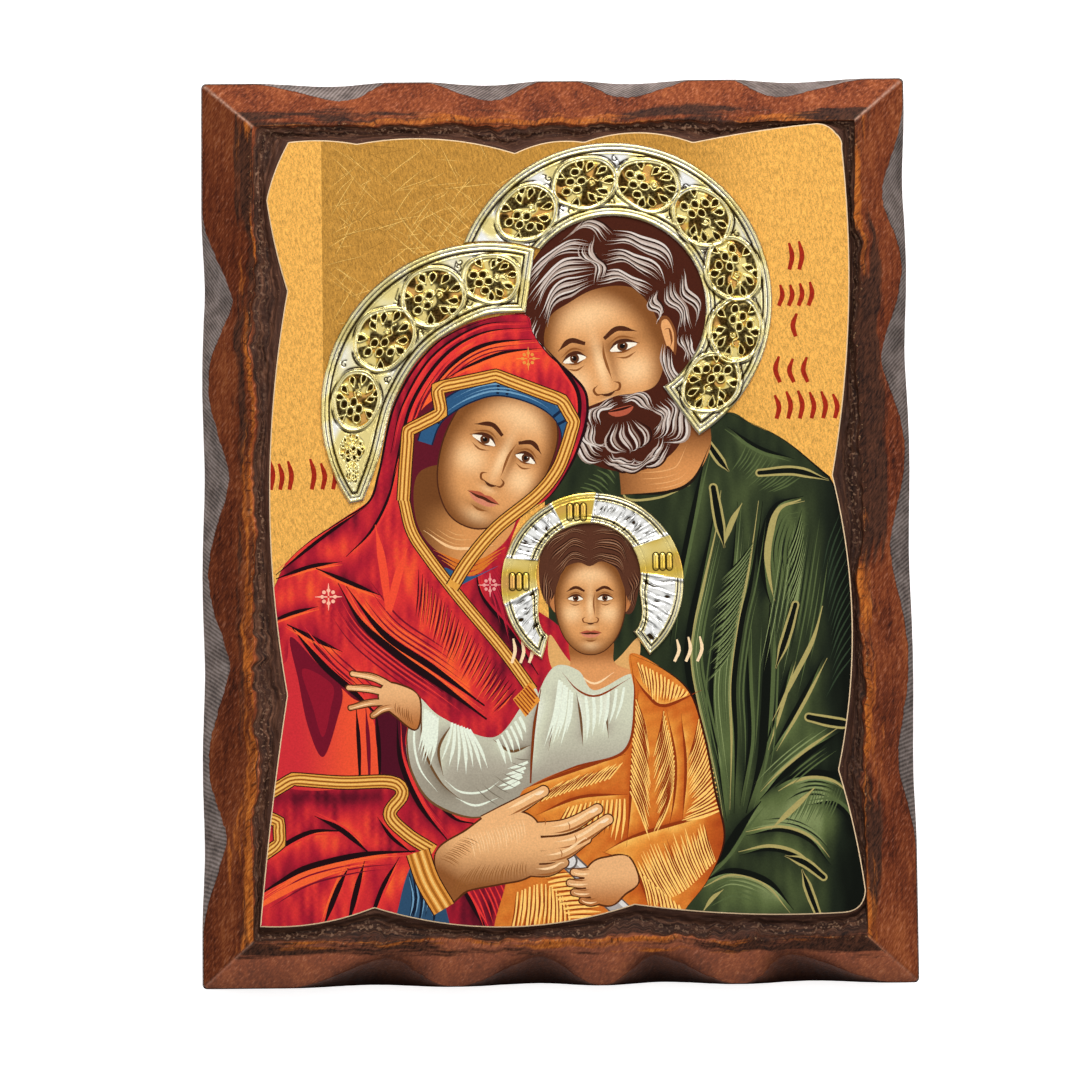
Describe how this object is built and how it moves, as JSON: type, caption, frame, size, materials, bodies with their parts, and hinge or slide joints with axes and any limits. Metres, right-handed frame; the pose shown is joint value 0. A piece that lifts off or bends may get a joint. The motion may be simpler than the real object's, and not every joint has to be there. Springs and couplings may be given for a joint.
{
  "type": "icon panel",
  "caption": "Rectangular bevelled wood panel with scalloped edges, a glued devotional print and embossed metal haloes; lies flat, hangs or leans on a shelf.",
  "frame": {"origin": "centre of the flat back, on which the panel lies", "axes": "+Z out of the picture, +Y to the picture's top, +X to the viewer's right"},
  "size_m": [0.18, 0.23, 0.0204],
  "materials": {
    "stained_wood": "red-brown stain, satin, antiqued dark round the picture, worn to orange on the arrises, grey-brown saw marks on the scalloped edge",
    "printed_paper": "matt colour print with a gold ground and a pale cut edge",
    "gilt_metal": "thin embossed sheet, bright gilt and silvered, dark in the grooves"
  },
  "bodies": {
    "root": {"board": "stained_wood", "print": "printed_paper", "halo_left": "gilt_metal", "halo_right": "gilt_metal", "halo_middle": "gilt_metal"}
  },
  "joints": []
}
